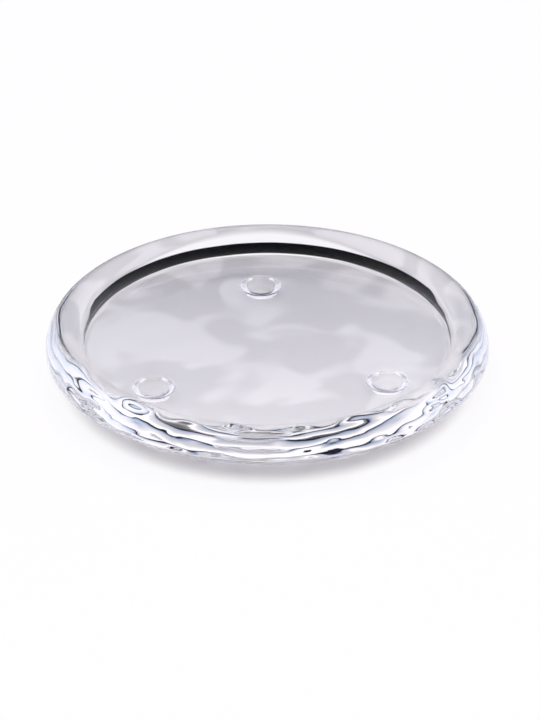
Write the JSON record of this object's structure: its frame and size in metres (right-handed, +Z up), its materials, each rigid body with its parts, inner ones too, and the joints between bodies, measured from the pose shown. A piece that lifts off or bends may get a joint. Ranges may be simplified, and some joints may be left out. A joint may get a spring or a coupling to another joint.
{
  "type": "candle plate",
  "caption": "Round clear-glass candle plate: a shallow well with a flat floor inside a thick rounded rim, raised on small glass feet.",
  "frame": {"origin": "centre of the plate, on the surface that the feet stand on", "axes": "+Z up out of the well; -Y faces the viewer, between the two front feet; +X to the viewer's right"},
  "size_m": [0.16, 0.16, 0.0212],
  "materials": {
    "plate_glass": "fire-polished clear crystal glass",
    "foot_glass": "fire-polished clear crystal glass"
  },
  "bodies": {
    "root": {"glass_plate": "plate_glass", "foot_back": "foot_glass", "foot_front_left": "foot_glass", "foot_front_right": "foot_glass"}
  },
  "joints": []
}
